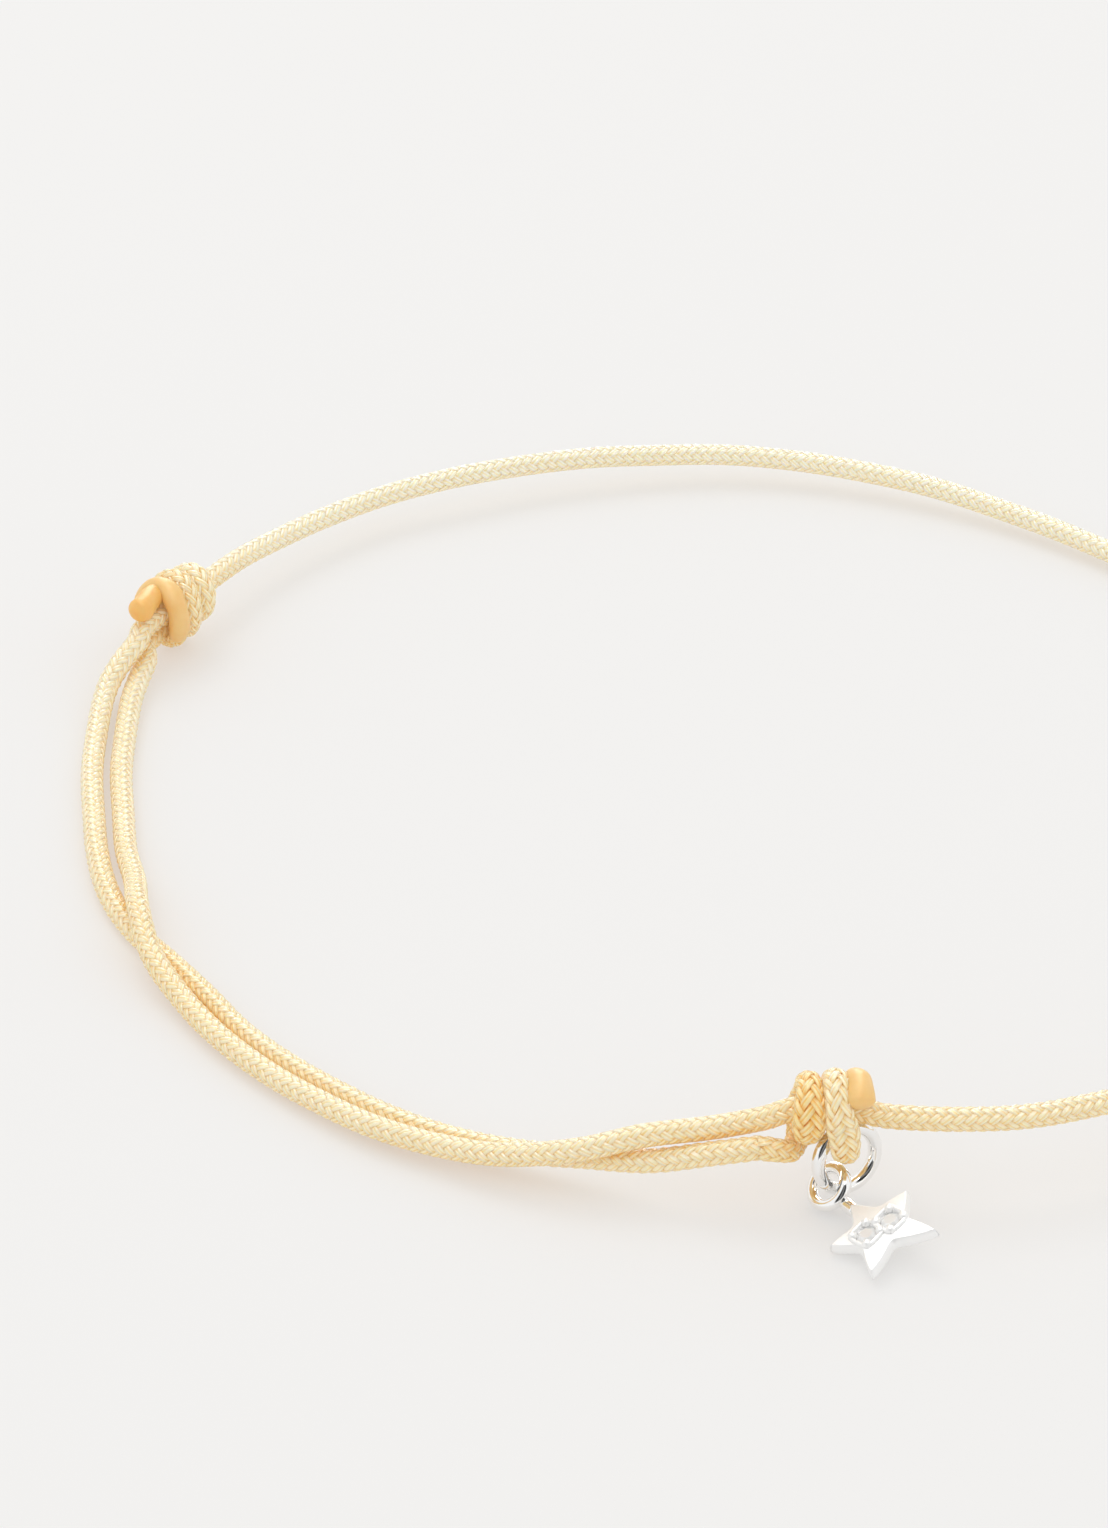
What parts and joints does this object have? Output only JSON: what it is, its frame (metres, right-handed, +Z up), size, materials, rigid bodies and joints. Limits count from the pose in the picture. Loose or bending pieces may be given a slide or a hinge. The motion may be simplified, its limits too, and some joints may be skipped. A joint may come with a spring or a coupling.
{
  "type": "rope bracelet",
  "caption": "Thin braided cord bracelet, a closed loop with sliding knots, with a small star charm set with cut stones hanging on a jump ring.",
  "frame": {"origin": "middle of the object's box, on the surface it lies on", "axes": "+Z up from the surface, -Y from the loop towards the hanging star, +X to the right seen from the star's side"},
  "size_m": [0.0667, 0.0696, 0.0069],
  "materials": {
    "cord": "satin braided nylon, cream with gold in the gaps",
    "knot_cord": "the same cord, drawn tight and darker gold, melted smooth at its ends",
    "silver": "polished silver",
    "stone": "clear, eight-sided cut"
  },
  "bodies": {
    "root": {"back_cord": "cord", "inner_strand": "cord", "outer_strand": "cord", "left_knot": "knot_cord", "front_knot": "knot_cord", "jump_ring": "silver", "star_charm": "silver", "stone_left": "stone", "stone_right": "stone"}
  },
  "joints": []
}
